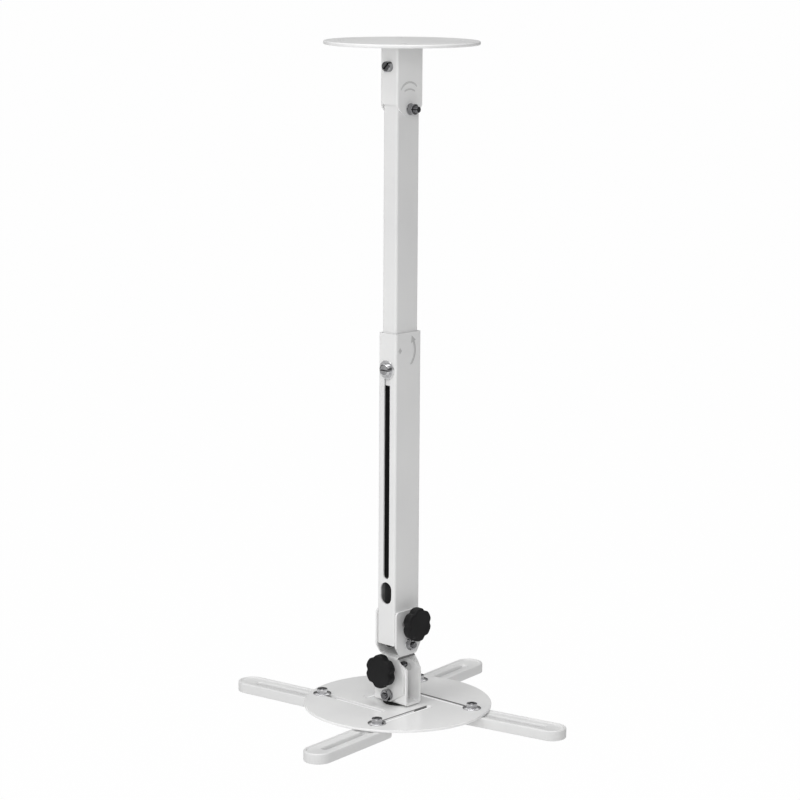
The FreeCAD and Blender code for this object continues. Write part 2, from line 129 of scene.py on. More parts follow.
def hexRadius(angle, flats):
    # distance from the axis to a hexagon's side in a direction
    return flats / 2 / np.cos((angle + math.pi / 6) % (math.pi / 3) - math.pi / 6)


def dress(piece, body, slot, material, *replaced):
    # finish and body of a piece, and the nodes it stands in for; the slot argument is not used
    piece.data.materials.append(material)
    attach(piece, body)
    if replaced:
        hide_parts(*replaced)


# materials

coatLook = {"colour": (0.80, 0.80, 0.795), "shade": (0.765, 0.765, 0.765), "ramp": (0.30, 0.70),
            "roughness": (0.36, 0.50), "cloudScale": 14.0, "cloudDetail": 5.0,
            "peelScale": 520.0, "peelDetail": 2.0, "peelDepth": 0.000035, "gloss": 0.45}
# painted light: a lighter copy of the coat for the base plate; its lower roughness is the plate's own gloss
basePaintedLightLook = {**coatLook, "colour": (0.885, 0.885, 0.88), "shade": (0.85, 0.85, 0.85),
            "roughness": (0.17, 0.26)}
# painted light: a lighter copy of the coat for the ceiling plate's rim and the hood
ceilingPaintedLightLook = {**coatLook, "colour": (0.84, 0.84, 0.835), "shade": (0.81, 0.81, 0.81)}
# painted light: a lighter copy of the coat for the yoke, whose inside lies in shade
yokePaintedLightLook = {**coatLook, "colour": (0.89, 0.89, 0.885), "shade": (0.86, 0.86, 0.86)}
# painted shade: darker copies of the coat stand in for the shading of the pressed signs' relief
hoodSignPaintedShadeLook = {**coatLook, "colour": (0.62, 0.62, 0.615), "shade": (0.54, 0.54, 0.54)}
mastSignPaintedShadeLook = {**coatLook, "colour": (0.55, 0.55, 0.545), "shade": (0.47, 0.47, 0.47)}
armLook = {**coatLook, "colour": (0.735, 0.735, 0.73), "shade": (0.70, 0.70, 0.70),
           "roughness": (0.40, 0.55), "cloudScale": 22.0, "peelScale": 380.0, "peelDepth": 0.00006,
           "gloss": 0.75}
zincLook = {"colour": (0.84, 0.84, 0.85), "shade": (0.66, 0.66, 0.67), "ramp": (0.32, 0.66),
            "roughness": (0.11, 0.25), "cloudScale": 160.0, "cloudDetail": 6.0,
            "grainScale": 900.0, "grainDetail": 3.0, "grainDepth": 0.00002}
# painted reflection and shade: darker copies of the zinc stand in for the dark surroundings that nuts,
# washers and screws mirror, and for shade in the threads
nutPaintedReflectionLook = {**zincLook, "colour": (0.64, 0.64, 0.65), "shade": (0.42, 0.42, 0.43)}
darkPaintedReflectionLook = {**zincLook, "colour": (0.46, 0.46, 0.47), "shade": (0.27, 0.27, 0.28)}
threadPaintedShadeLook = {**zincLook, "colour": (0.24, 0.24, 0.25), "shade": (0.10, 0.10, 0.105)}
plasticLook = {"colour": (0.011, 0.011, 0.0114), "shade": (0.017, 0.017, 0.0175), "ramp": (0.35, 0.68),
               "roughness": (0.42, 0.56), "cloudScale": 60.0, "cloudDetail": 4.0,
               "grainScale": 1500.0, "grainDetail": 2.0, "grainDepth": 0.00003, "gloss": 0.11}
noiseSpan = (0.3, 0.7)      # where most values of a noise lie
# share of a coat's own tone that is left in a zone of painted shade
paintedShadeShare = {"tube": 0.057, "hole": 0.13, "holeInner": 0.30, "holeMouth": 0.53, "slot": 0.165,
             "plateTop": 0.71, "slotWall": 0.84}


def startMaterial(name):
    material = bpy.data.materials.new(name)
    material.use_nodes = True
    tree = material.node_tree
    shader = tree.nodes["Principled BSDF"]
    coords = tree.nodes.new("ShaderNodeTexCoord")
    return material, tree, shader, coords


def addNoise(tree, coords, scale, detail):
    noise = tree.nodes.new("ShaderNodeTexNoise")
    noise.inputs["Scale"].default_value = scale
    noise.inputs["Detail"].default_value = detail
    tree.links.new(coords.outputs["Object"], noise.inputs["Vector"])
    return noise.outputs["Fac"]


def addRamp(tree, source, ends, colours):
    ramp = tree.nodes.new("ShaderNodeValToRGB")
    for element, end, colour in zip(ramp.color_ramp.elements, ends, colours):
        element.position = end
        element.color = (*colour, 1.0)
    tree.links.new(source, ramp.inputs["Fac"])
    return ramp.outputs["Color"]


def addRange(tree, source, low, high):
    span = tree.nodes.new("ShaderNodeMapRange")
    span.inputs["From Min"].default_value = noiseSpan[0]
    span.inputs["From Max"].default_value = noiseSpan[1]
    span.inputs["To Min"].default_value = low
    span.inputs["To Max"].default_value = high
    tree.links.new(source, span.inputs["Value"])
    return span.outputs["Result"]


def addBump(tree, source, depth):
    bump = tree.nodes.new("ShaderNodeBump")
    bump.inputs["Strength"].default_value = 1.0
    bump.inputs["Distance"].default_value = depth
    tree.links.new(source, bump.inputs["Height"])
    return bump.outputs["Normal"]


def paintedCoat(name, look):
    # powder coat: soft cloudy tone, orange-peel bump and a gloss that wanders a little
    material, tree, shader, coords = startMaterial(name)
    cloud = addNoise(tree, coords, look["cloudScale"], look["cloudDetail"])
    peel = addNoise(tree, coords, look["peelScale"], look["peelDetail"])
    tone = addRamp(tree, cloud, look["ramp"], (look["shade"], look["colour"]))
    tree.links.new(tone, shader.inputs["Base Color"])
    tree.links.new(addRange(tree, cloud, *look["roughness"]), shader.inputs["Roughness"])
    tree.links.new(addBump(tree, peel, look["peelDepth"]), shader.inputs["Normal"])
    shader.inputs["Specular IOR Level"].default_value = look["gloss"]
    return material


def platedSteel(name, look):
    # zinc plate: spangled tone, fine grain in the bump, uneven gloss
    material, tree, shader, coords = startMaterial(name)
    cloud = addNoise(tree, coords, look["cloudScale"], look["cloudDetail"])
    grain = addNoise(tree, coords, look["grainScale"], look["grainDetail"])
    tone = addRamp(tree, cloud, look["ramp"], (look["shade"], look["colour"]))
    tree.links.new(tone, shader.inputs["Base Color"])
    tree.links.new(addRange(tree, grain, *look["roughness"]), shader.inputs["Roughness"])
    tree.links.new(addBump(tree, grain, look["grainDepth"]), shader.inputs["Normal"])
    shader.inputs["Metallic"].default_value = 1.0
    return material


def mouldedPlastic(name, look):
    # moulded plastic: spark-eroded grain over a nearly black body
    material, tree, shader, coords = startMaterial(name)
    cloud = addNoise(tree, coords, look["cloudScale"], look["cloudDetail"])
    grain = addNoise(tree, coords, look["grainScale"], look["grainDetail"])
    tone = addRamp(tree, cloud, look["ramp"], (look["colour"], look["shade"]))
    tree.links.new(tone, shader.inputs["Base Color"])
    tree.links.new(addRange(tree, cloud, *look["roughness"]), shader.inputs["Roughness"])
    tree.links.new(addBump(tree, grain, look["grainDepth"]), shader.inputs["Normal"])
    shader.inputs["Specular IOR Level"].default_value = look["gloss"]
    return material


def addBand(tree, coords, way, middle, half):
    # 1 where a point's distance along a direction is within half of the middle, in millimetres
    reach = tree.nodes.new("ShaderNodeVectorMath")
    reach.operation = "DOT_PRODUCT"
    reach.inputs[1].default_value = way
    tree.links.new(coords.outputs["Object"], reach.inputs[0])
    band = tree.nodes.new("ShaderNodeMath")
    band.operation = "COMPARE"
    band.inputs[1].default_value = middle / 1000.0
    band.inputs[2].default_value = half / 1000.0
    tree.links.new(reach.outputs["Value"], band.inputs[0])
    return band.outputs[0]


def joinMasks(tree, how, masks):
    # all masks taken together, two at a time
    total = masks[0]
    for mask in masks[1:]:
        step = tree.nodes.new("ShaderNodeMath")
        step.operation = how
        tree.links.new(total, step.inputs[0])
        tree.links.new(mask, step.inputs[1])
        total = step.outputs[0]
    return total


def paintShadeWhere(material, tone, zones):
    # painted shade: darker tone inside the zones; a zone is a list of bands that all hold
    tree = material.node_tree
    shader = tree.nodes["Principled BSDF"]
    coords = tree.nodes.new("ShaderNodeTexCoord")
    hits = [joinMasks(tree, "MULTIPLY", [addBand(tree, coords, *band) for band in zone]) for zone in zones]
    mix = tree.nodes.new("ShaderNodeMix")       # as a colour mix: 0 is its factor, 6 and 7 its colours
    mix.data_type = "RGBA"
    mix.blend_type = "MULTIPLY"
    tree.links.new(joinMasks(tree, "MAXIMUM", hits), mix.inputs[0])
    tree.links.new(shader.inputs["Base Color"].links[0].from_socket, mix.inputs[6])
    mix.inputs[7].default_value = (*[paintedShadeShare[tone]] * 3, 1.0)
    tree.links.new(mix.outputs[2], shader.inputs["Base Color"])
    return material


whiteCoat = paintedCoat("whiteCoat", coatLook)
armCoat = paintedCoat("armCoat", armLook)
hoodSignPaintedShadeCoat = paintedCoat("hoodSignPaintedShadeCoat", hoodSignPaintedShadeLook)
mastSignPaintedShadeCoat = paintedCoat("mastSignPaintedShadeCoat", mastSignPaintedShadeLook)
zincSteel = platedSteel("zincSteel", zincLook)
nutPaintedReflectionSteel = platedSteel("nutPaintedReflectionSteel", nutPaintedReflectionLook)
darkPaintedReflectionSteel = platedSteel("darkPaintedReflectionSteel", darkPaintedReflectionLook)
threadPaintedShadeSteel = platedSteel("threadPaintedShadeSteel", threadPaintedShadeLook)
blackPlastic = mouldedPlastic("blackPlastic", plasticLook)
slotLooks = {"white_coat": whiteCoat, "zinc_steel": zincSteel, "black_plastic": blackPlastic}


# zones of painted shade, where a node is darker than its coat, in millimetres; a pair is a band's middle and
# half width

acrossX, acrossY, acrossZ = (1, 0, 0), (0, 1, 0), (0, 0, 1)
# bands of painted shade inside the tubes
tubeShadeZones = {"outerX": (0, 9.75), "outerY": (0, 16.25), "innerX": (0, 7.55), "innerY": (0, 14.05),
             "slotRun": (-396.0, 117.0), "holeRun": (-551.0, 38.0),
             "holeDepths": {"hole": (3.9, 12.35), "holeInner": (-9.75, 1.3), "holeMouth": (-13.65, 2.6)}}
# band of painted shade on the neck's edges
bracketShadeZones = {"neckX": 11.0, "skin": 0.3, "neckRun": (-589.5, 1.2)}
# bands of painted shade on the base's slot walls
baseShadeZones = {"offset": 32.6, "half": 3.34, "wallHalf": 3.36, "middle": 31.0, "run": 39.5,
             "frontDepth": (-637.4, 0.5), "frontEnd": (0.4, 8.9), "rightDepth": (-637.6, 0.75),
             "leftDepth": (-638.6, 1.1)}
ceilingTopShade = (0, 0.35)
# band of painted shade in each screw's driver slot
driverSlotShade = {"half": 0.77, "slideZ": -307.3, "lockZ": -23.2, "lockTilt": 46.0}


def outerTubeCoat():
    # painted shade behind the long slot; painted fall-off of the light that enters by the cable hole, darker
    # with depth
    zones = tubeShadeZones
    coat = paintedCoat("outerTubeCoat", coatLook)
    inX, inY = (acrossX, *zones["outerX"]), (acrossY, *zones["outerY"])
    paintShadeWhere(coat, "tube", [[inX, inY, (acrossZ, *zones["slotRun"])]])
    for tone, depth in zones["holeDepths"].items():
        paintShadeWhere(coat, tone, [[inX, (acrossY, *depth), (acrossZ, *zones["holeRun"])]])
    return coat


def innerTubeCoat():
    # painted shade inside the bore
    zones = tubeShadeZones
    coat = paintedCoat("innerTubeCoat", coatLook)
    return paintShadeWhere(coat, "tube", [[(acrossX, *zones["innerX"]), (acrossY, *zones["innerY"])]])


def bracketCoat():
    # painted shade on the neck's two narrow edges, which lie in the shade of the bracket above
    zones = bracketShadeZones
    edges = [(acrossX, side * zones["neckX"], zones["skin"]) for side in (1, -1)]
    coat = paintedCoat("bracketCoat", coatLook)
    return paintShadeWhere(coat, "slot", [[edge, (acrossZ, *zones["neckRun"])] for edge in edges])


def basePaintedLightAndShadeCoat():
    # painted shade on the walls of three slots: dark in the front and right ones, a little darker than the
    # top in the left one; over a lighter coat that is painted light
    zones = baseShadeZones
    offset, half, middle, run = (zones[k] for k in ("offset", "half", "middle", "run"))
    coat = paintedCoat("basePaintedLightAndShadeCoat", basePaintedLightLook)
    frontX, rightY = (acrossX, offset, half), (acrossY, offset, half)
    paintShadeWhere(coat, "slot", [
        [frontX, (acrossY, -middle, run), (acrossZ, *zones["frontDepth"])],
        [frontX, (acrossY, *zones["frontEnd"])],
        [rightY, (acrossX, middle, run), (acrossZ, *zones["rightDepth"])]])
    leftY = (acrossY, -offset, zones["wallHalf"])
    return paintShadeWhere(coat, "slotWall", [[leftY, (acrossX, -middle, run), (acrossZ, *zones["leftDepth"])]])


def ceilingPaintedLightAndShadeCoat():
    # painted shade: the upper face is darker than the rim, over a lighter coat that is painted light
    return paintShadeWhere(paintedCoat("ceilingPaintedLightAndShadeCoat", ceilingPaintedLightLook), "plateTop", [[(acrossZ, *ceilingTopShade)]])


def slideScrewSteel():
    # painted shade in the level driver slot across the head
    zone = [(acrossZ, driverSlotShade["slideZ"], driverSlotShade["half"])]
    return paintShadeWhere(platedSteel("slideScrewSteel", nutPaintedReflectionLook), "holeMouth", [zone])


def lockScrewSteel():
    # painted shade in the driver slot across the head, turned by the tilt
    tilt = math.radians(driverSlotShade["lockTilt"])
    zone = [((-math.sin(tilt), 0, math.cos(tilt)), driverSlotShade["lockZ"] * math.cos(tilt), driverSlotShade["half"])]
    return paintShadeWhere(platedSteel("lockScrewSteel", darkPaintedReflectionLook), "tube", [zone])


nodeLooks = {
    "outer_tube": outerTubeCoat(),
    "gimbal_lower_bracket": bracketCoat(),
    "inner_tube": innerTubeCoat(),
    "base_plate": basePaintedLightAndShadeCoat(),
    # the hood wears the ceiling plate's lighter coat, which is painted light
    "ceiling_bracket": paintedCoat("hoodPaintedLightCoat", ceilingPaintedLightLook),
    "base_yoke": paintedCoat("yokePaintedLightCoat", yokePaintedLightLook),
    "ceiling_plate": ceilingPaintedLightAndShadeCoat(),
    "slide_clamp_screw": slideScrewSteel(),
    "bracket_lock_screw": lockScrewSteel(),
}
for part in frame["record"]["subparts"]:
    look = nodeLooks.get(part["node"], slotLooks[part["material_slot"]])
    for holder in frame["nodes"][part["node"]].material_slots:
        holder.material = look
print("materials set")


# nuts: hexagon with both ends turned to a 30 degree chamfer, bored through

nutShape = {"flats": 10.0, "bore": 3.02, "mouth": 3.45, "mouthDepth": 0.45, "faceR": 4.85, "height": 5.0,
            "lowHeight": 3.6, "chamferRows": (0, 0.12, 0.25, 0.4, 0.6, 0.85), "turns": 96, "sharp": 25.0}
nutPlaces = [
    # node, body, axis, side of the open face, turn in degrees
    ("ceiling_pivot_nut", "ceiling", "x", 1, 0.0), ("pitch_pivot_nut", "gimbal", "x", 1, 0.0),
    ("roll_pivot_nut", "gimbal", "y", -1, 0.0), ("swivel_nut", "yoke", "z", -1, 0.0),
    ("arm_nut_left", "bolt_left", "z", 1, 6.7), ("arm_nut_front", "bolt_front", "z", 1, 12.0),
    ("arm_nut_right", "bolt_right", "z", 1, 10.0), ("arm_nut_back", "bolt_back", "z", 1, 12.0),
]


def nutSurface(name, place, axis, sign, spin, height):
    # radius = smaller of the hexagon and a cone that opens from each face; the bore closes the ring
    shape = nutShape
    angle = ringAngles(shape["turns"])
    step = np.array(shape["chamferRows"])
    side = np.concatenate([step, [height / 2], height - step[::-1]])[:, None]
    cone = shape["faceR"] + np.minimum(side, height - side) * math.sqrt(3)
    outer = np.minimum(hexRadius(angle, shape["flats"]), cone)
    bore, mouth = (np.full_like(angle, shape[k]) for k in ("bore", "mouth"))
    radius = np.vstack([bore, mouth, outer, mouth, bore])
    depth = shape["mouthDepth"]
    station = np.concatenate([[depth, 0.0], side[:, 0], [height, height - depth]])[:, None]
    points = turned(place, axis, sign, station, radius, angle + math.pi / 6 + math.radians(spin))
    return meshFromGrid(name, [points], shape["sharp"], closeRows=True)


for node, body, axis, sign, spin in nutPlaces:
    low, high = nodeBox(node)
    k = "xyz".index(axis)
    place = (low + high) / 2
    place[k] = low[k] if sign > 0 else high[k]      # seat of the nut
    onArm = node.startswith("arm")
    height = nutShape["lowHeight" if onArm else "height"]
    piece = nutSurface(node + "_turned", place, axis, sign, spin, height)
    # the darker steels on the nuts are painted dark reflection
    dress(piece, body, "zinc_steel", nutPaintedReflectionSteel if onArm else darkPaintedReflectionSteel, node)
print("nuts:", len(nutPlaces))


# washers: stamped rings with rolled edges, one or two to a node

washerShape = {"bore": 3.15, "edge": 0.5, "bends": 6, "pairThickness": 1.4, "turns": 96, "sharp": 40.0,
               "flangeRim": 1.0, "flangeTop": 2.2, "flangeR": 5.2}
washerPlaces = [
    # node, body, axis, rings
    ("ceiling_pivot_washers", "ceiling", "x", 2), ("pitch_pivot_washers", "gimbal", "x", 2),
    ("roll_pivot_washers", "gimbal", "y", 2), ("upper_clamp_washers", "mast_outer", "x", 2),
    ("lower_clamp_washers", "gimbal", "y", 2), ("slide_clamp_washer", "mast_inner", "y", 1),
    ("swivel_washer", "yoke", "z", 1),
]
washerPlaces += [("arm_washer_" + name, "bolt_" + name, "z", 1) for name in armNames]


def washerRing(place, axis, radius, low, high, flange):
    # radius = the bore, out along one face, round two quarter circles at the rim and back along the
    # other face, which climbs towards the nut where the ring is a flange
    shape = washerShape
    edge, bends, top = shape["edge"], shape["bends"], high
    if flange:
        high, top = low + shape["flangeRim"], low + shape["flangeTop"]
    rim = lowerEdge(radius, low, edge, bends) + upperEdge(radius, high, edge, bends)
    profile = np.array([(shape["bore"], low)] + rim + [(shape["flangeR"], top), (shape["bore"], top)])
    return turned(place, axis, 1, profile[:, 1:2], profile[:, 0:1], ringAngles(shape["turns"]))


for node, body, axis, rings in washerPlaces:
    low, high = nodeBox(node)
    k = "xyz".index(axis)
    place, radius = (low + high) / 2, (high - low)[(k + 1) % 3] / 2
    place[k] = 0
    thick = washerShape["pairThickness"]
    ends = [(low[k], high[k])] if rings == 1 else [(low[k], low[k] + thick), (high[k] - thick, high[k])]
    grids = [washerRing(place, axis, radius, a, b, node.startswith("arm")) for a, b in ends]
    # washers in the darker steel carry painted dark reflection
    look = zincSteel if node.startswith(("arm", "pitch", "slide")) else darkPaintedReflectionSteel
    piece = meshFromGrid(node + "_stamped", grids, washerShape["sharp"], closeRows=True)
    dress(piece, body, "zinc_steel", look, node)
print("washers:", len(washerPlaces))


# arms: obround trays with a long slot, a bore for the bolt and a seat for its head underneath

armShape = {
    "span": 88.0, "radius": 14.0, "height": 10.0, "foot": 0.8, "topEdge": 1.5, "bends": 6,
    "recessNear": 24.0, "recessRadius": 11.9, "floor": 8.8, "slotNear": 20.0, "slotFar": 78.0, "slot": 3.3,
    "bore": 3.15, "seat": 7.0, "seatDepth": 3.6, "turns": 96, "sharp": 35.0,
    # edge of the recess: step in and share of the depth
    "recessEdge": ((0, 0), (0.25, 0.06), (0.5, 0.2), (0.75, 0.5), (1.0, 0.8), (1.3, 0.94), (1.9, 1)),
    # lip of the slot: step out and depth below the floor
    "slotLip": ((1.7, 0), (1.2, 0.1), (0.8, 0.4), (0.4, 0.9), (0.1, 1.5), (0, 2.2)),
}
armDirections = {"left": 186.7, "front": 275.3, "right": 10.0, "back": 96.6}


def obroundRows(rows):
    # point = end centre, the far one where the angle's cosine is positive, plus the radius at that angle;
    # a row gives near and far centre, radius and height
    near, far, radius, height = (np.array(column)[:, None] for column in zip(*rows))
    step = 2 * math.pi / armShape["turns"]
    angle = (np.arange(armShape["turns"]) + 0.5)[None, :] * step
    x = np.where(np.cos(angle) > 0, far, near) + radius * np.cos(angle)
    y = radius * np.sin(angle)
    return np.stack([x, y, height + 0 * x], axis=-1)


def flatFace(loops, up):
    # triangles between an outer loop and its holes, all turned up or all turned down
    points = np.concatenate(loops)
    faces = np.array(tessellate_polygon([loop.tolist() for loop in loops]))
    a, b, c = (points[faces[:, k]] for k in range(3))
    rising = np.cross(b - a, c - a)[:, 2] > 0
    return np.where((rising == up)[:, None], faces, faces[:, ::-1])


def armSurface(name, place, direction):
    # three strips around: the wall, the recess down through the slot, and the bore; flat faces join them
    shape = armShape
    span, top, floor, turns = (shape[k] for k in ("span", "height", "floor", "turns"))
    rim = lowerEdge(shape["radius"], 0, shape["foot"], shape["bends"])
    rim += upperEdge(shape["radius"], top, shape["topEdge"], shape["bends"])
    wall = [(0, span, r, z) for r, z in rim]
    tray = [(shape["recessNear"], span, shape["recessRadius"] - inward, top - (top - floor) * share)
            for inward, share in shape["recessEdge"]]
    tray += [(shape["slotNear"], shape["slotFar"], shape["slot"] + outward, floor - depth)
             for outward, depth in (*shape["slotLip"], (0, floor))]
    bore, seat, seatTop = shape["bore"], shape["seat"], shape["seatDepth"]
    well = [(0, 0, r, z) for r, z in ((bore, top), (bore, seatTop), (seat, seatTop), (seat, 0))]
    strips = [obroundRows(rows) for rows in (wall, tray, well)]
    starts = np.cumsum([0] + [strip.shape[0] * turns for strip in strips])
    faces = []
    for strip, start in zip(strips, starts):
        faces += (gridFaces(strip.shape[0], turns, False, True) + start).tolist()
    lasts = starts[1:] - turns
    under = ((starts[0], lasts[1], lasts[2]), (0, -1, -1), False)
    upper = ((lasts[0], starts[1], starts[2]), (-1, 0, 0), True)
    for firsts, rows, up in (under, upper):
        index = np.concatenate([first + np.arange(turns) for first in firsts])
        loops = [strip[row] for strip, row in zip(strips, rows)]
        faces += index[flatFace(loops, up)].tolist()
    points = np.concatenate([strip.reshape(-1, 3) for strip in strips])
    cosine, sine = math.cos(math.radians(direction)), math.sin(math.radians(direction))
    points = points @ np.array([[cosine, sine, 0], [-sine, cosine, 0], [0, 0, 1]]) + place
    return meshFromFaces(name, points / 1000.0, faces, shape["sharp"])


for name in armNames:
    low, high = nodeBox("arm_bolt_" + name)
    place = (low + high) / 2
    place[2] = nodeBox("arm_" + name)[0][2]
    piece = armSurface("arm_%s_tray" % name, place, armDirections[name])
    dress(piece, "arm_" + name, "white_coat", armCoat, "arm_" + name)
print("arms:", len(armNames))


# bolts: head, plain shank and rolled thread as one turned surface

boltShape = {
    "shank": 3.0, "root": 2.55, "pitch": 1.0, "steps": 12, "turns": 96, "sharp": 30.0, "flats": 10.0,
    "headFace": 4.7, "domeR": 6.5, "domeDrop": 0.75, "headRows": (0, 0.1, 0.22, 0.4, 0.7, 1.2),
    "fadeIn": 1.2, "fadeOut": 0.7, "lastTooth": 0.1, "tipStep": 0.05, "runIn": 0.2, "seam": 0.001,
    "endFlat": 0.3,         # radius of the small flat in the middle of each end
    "armCut": 3.3,          # arm bolts end just above their low nuts
}
boltPlaces = [
    # node, body, axis, sign of the shank, head height, head, length of the thread
    ("ceiling_pivot_bolt", "ceiling", "x", 1, 4.0, "hex", 11.0),
    ("pitch_pivot_bolt", "gimbal", "x", 1, 4.0, "hex", 9.0),
    ("roll_pivot_bolt", "gimbal", "y", -1, 4.0, "hex", 9.0),
    ("upper_clamp_bolt", "mast_outer", "x", 1, 4.0, "hex", 36.0),
    ("lower_clamp_bolt", "gimbal", "y", -1, 4.0, "hex", 36.0),
]
boltPlaces += [("arm_bolt_" + name, "bolt_" + name, "z", 1, 3.0, "dome", 12.0) for name in armNames]


def boltRadius(station, angle, headH, headKind, threadFrom, length):
    # head: hexagon or dome; thread: a zigzag of (station / pitch - turn), faded in and out
    shape = boltShape
    left = length - station
    tooth = np.abs((station / shape["pitch"] - angle / (2 * math.pi)) % 1.0 - 0.5) * 2
    fade = np.clip((station - threadFrom) / shape["fadeIn"], 0, 1)
    fade = fade * np.clip(left / shape["fadeOut"] + shape["lastTooth"], 0, 1)
    body = shape["shank"] - (shape["shank"] - shape["root"]) * tooth * fade
    body = np.minimum(body, shape["root"] + np.maximum(left, 0) + shape["tipStep"])
    if headKind == "hex":
        cone = shape["headFace"] + np.maximum(station + headH, 0) * math.sqrt(3)
        head = np.minimum(hexRadius(angle, shape["flats"]), cone)
    else:
        rise = np.clip((station + headH) / headH, 0, 1)
        head = shape["domeR"] * np.sqrt(np.clip(1 - (1 - rise) ** 2 * shape["domeDrop"], 0, 1))
    return np.where(station < 0, head, body)


def boltSurface(name, place, axis, sign, headH, headKind, threadFrom, length):
    # stations from the head's face over the seat to the tip, closed by a small flat at each end
    shape = boltShape
    seam = shape["seam"]
    angle = ringAngles(shape["turns"])
    headRows = np.array(shape["headRows"]) - headH
    plain = [-seam, seam, max(threadFrom - shape["runIn"], 2 * seam)]
    thread = np.arange(threadFrom, length, shape["pitch"] / shape["steps"])
    station = np.concatenate([headRows, plain, thread, [length]])[:, None]
    radius = boltRadius(station, angle, headH, headKind, threadFrom, length)
    flat = np.full_like(angle, shape["endFlat"])
    station = np.vstack([[[-headH]], station, [[length]]])
    radius = np.vstack([flat, radius, flat])
    points = turned(place, axis, sign, station, radius, angle + math.pi / 6)
    return meshFromGrid(name, [points], shape["sharp"], caps=True)


for node, body, axis, sign, headH, headKind, threadLen in boltPlaces:
    low, high = nodeBox(node)
    k = "xyz".index(axis)
    place = (low + high) / 2
    place[k] = low[k] + headH if sign > 0 else high[k] - headH      # seat under the head
    length = high[k] - low[k] - headH - boltShape["armCut"] * (headKind == "dome")
    piece = boltSurface(node + "_rolled", place, axis, sign, headH, headKind, length - threadLen, length)
    # bolts in a darker steel: painted shade in the threads and painted dark reflection
    dress(piece, body, "zinc_steel", threadPaintedShadeSteel, node)
print("bolts:", len(boltPlaces))


# knobs: hub, lobed rim and a slightly dished face

knobShape = {
    "radius": 16.3, "height": 10.0, "edge": 2.2, "bends": 9, "waist": 5.0, "backEdge": 2.0, "backIn": 0.2,
    "backUp": 0.3, "hub": 8.0, "hubStep": 1.5, "faceRing": 1.0, "dishR": 9.0, "dish": 0.12, "floorR": 4.0,
    "floor": 0.15, "endFlat": 0.3, "lobes": 6, "notch": 1.9, "notchHalf": 18.0, "notchFade": 4.0,
    "turns": 240, "sharp": 40.0,
}
knobPlaces = [("upper_knob", "x", 1), ("lower_knob", "y", -1)]      # node and body, axis, side of the face


def knobSurface(name, place, axis, sign, seat, face):
    # radius = a rounded profile less a bell-shaped notch that repeats around the rim
    shape = knobShape
    angle = ringAngles(shape["turns"])
    pitch = 2 * math.pi / shape["lobes"]
    off = (angle + pitch / 2) % pitch - pitch / 2
    half = math.radians(shape["notchHalf"])
    notch = shape["notch"] * np.where(np.abs(off) < half, 0.5 + 0.5 * np.cos(math.pi * off / half), 0)
    back, edge, big, hub = face - shape["height"], shape["edge"], shape["radius"], shape["hub"]
    slope, inward = shape["backEdge"], shape["backIn"]
    profile = [(shape["endFlat"], seat), (hub - shape["hubStep"], seat), (hub, back), (big - slope, back),
               (big - inward, back + slope - inward), (big, back + slope + shape["backUp"]),
               (big, back + shape["waist"])]
    profile += upperEdge(big, face, edge, shape["bends"])
    profile += [(big - edge - shape["faceRing"], face), (shape["dishR"], face - shape["dish"]),
                (shape["floorR"], face - shape["floor"]), (shape["endFlat"], face - shape["floor"])]
    profile = np.array(profile)
    # notches fade out towards the hub and the face
    share = np.clip((profile[:, 0:1] - shape["dishR"]) / shape["notchFade"], 0, 1)
    points = turned(place, axis, sign, profile[:, 1:2], profile[:, 0:1] - share * notch, angle)
    return meshFromGrid(name, [points], shape["sharp"], caps=True)


for node, axis, sign in knobPlaces:
    low, high = nodeBox(node)
    k = "xyz".index(axis)
    place = (low + high) / 2
    seat, face = (low[k], high[k]) if sign > 0 else (-high[k], -low[k])
    place[k] = 0
    piece = knobSurface(node + "_moulded", place, axis, sign, seat, face)
    dress(piece, node, "black_plastic", blackPlastic, node)
print("knobs:", len(knobPlaces))


# pressed signs on the mast and the hood, in darker coats that are painted shade of their relief

signShape = {"rise": 0.55, "sink": 0.02, "across": 9, "strokePower": 8, "strokeTip": 0.01, "tip": 0.02,
             "sharp": 60.0}
mastFace = {"body": "mast_outer", "x": nodeBox("outer_tube")[1][0], "look": mastSignPaintedShadeCoat}
hoodFace = {"body": "ceiling", "x": nodeBox("ceiling_bracket")[1][0], "look": hoodSignPaintedShadeCoat}
signs = [
    # name, face, points of the path in y and z, stations, half width, taper
    ("mast_sign_arc", mastFace, [(2.4, -303.5), (8.4, -289.5), (5.9, -280.5)], 40, 1.35, "stroke"),
    ("mast_sign_head", mastFace, [(6.4, -281.6), (3.9, -275.6)], 16, 3.4, "head"),
    ("mast_sign_dot", mastFace, [(-12.1, -285.8), (-12.1, -292.0)], 17, 2.5, "diamond"),
    ("hood_sign_arc", hoodFace, [(-12.9, -44.9), (-2.4, -37.9), (9.2, -42.6)], 40, 0.95, "stroke"),
    ("hood_sign_inner", hoodFace, [(-8.4, -46.2), (-1.2, -44.3), (6.7, -46.7)], 40, 0.8, "stroke"),
]


def arcThrough(a, b, c, count):
    # points of the circle through three points, from the first to the last by the shorter way
    (ax, ay), (bx, by), (cx, cy) = a, b, c
    d = 2 * (ax * (by - cy) + bx * (cy - ay) + cx * (ay - by))
    ux = ((ax**2 + ay**2) * (by - cy) + (bx**2 + by**2) * (cy - ay) + (cx**2 + cy**2) * (ay - by)) / d
    uy = ((ax**2 + ay**2) * (cx - bx) + (bx**2 + by**2) * (ax - cx) + (cx**2 + cy**2) * (bx - ax)) / d
    first, last = (math.atan2(y - uy, x - ux) for x, y in (a, c))
    last = first + (last - first + math.pi) % (2 * math.pi) - math.pi
    t = np.linspace(first, last, count)
    r = math.hypot(ax - ux, ay - uy)
    return np.stack([ux + r * np.cos(t), uy + r * np.sin(t)], axis=1)


def lineBetween(a, b, count):
    # point = mix of the two ends by an even share
    t = np.linspace(0, 1, count)[:, None]
    return (1 - t) * np.array(a) + t * np.array(b)


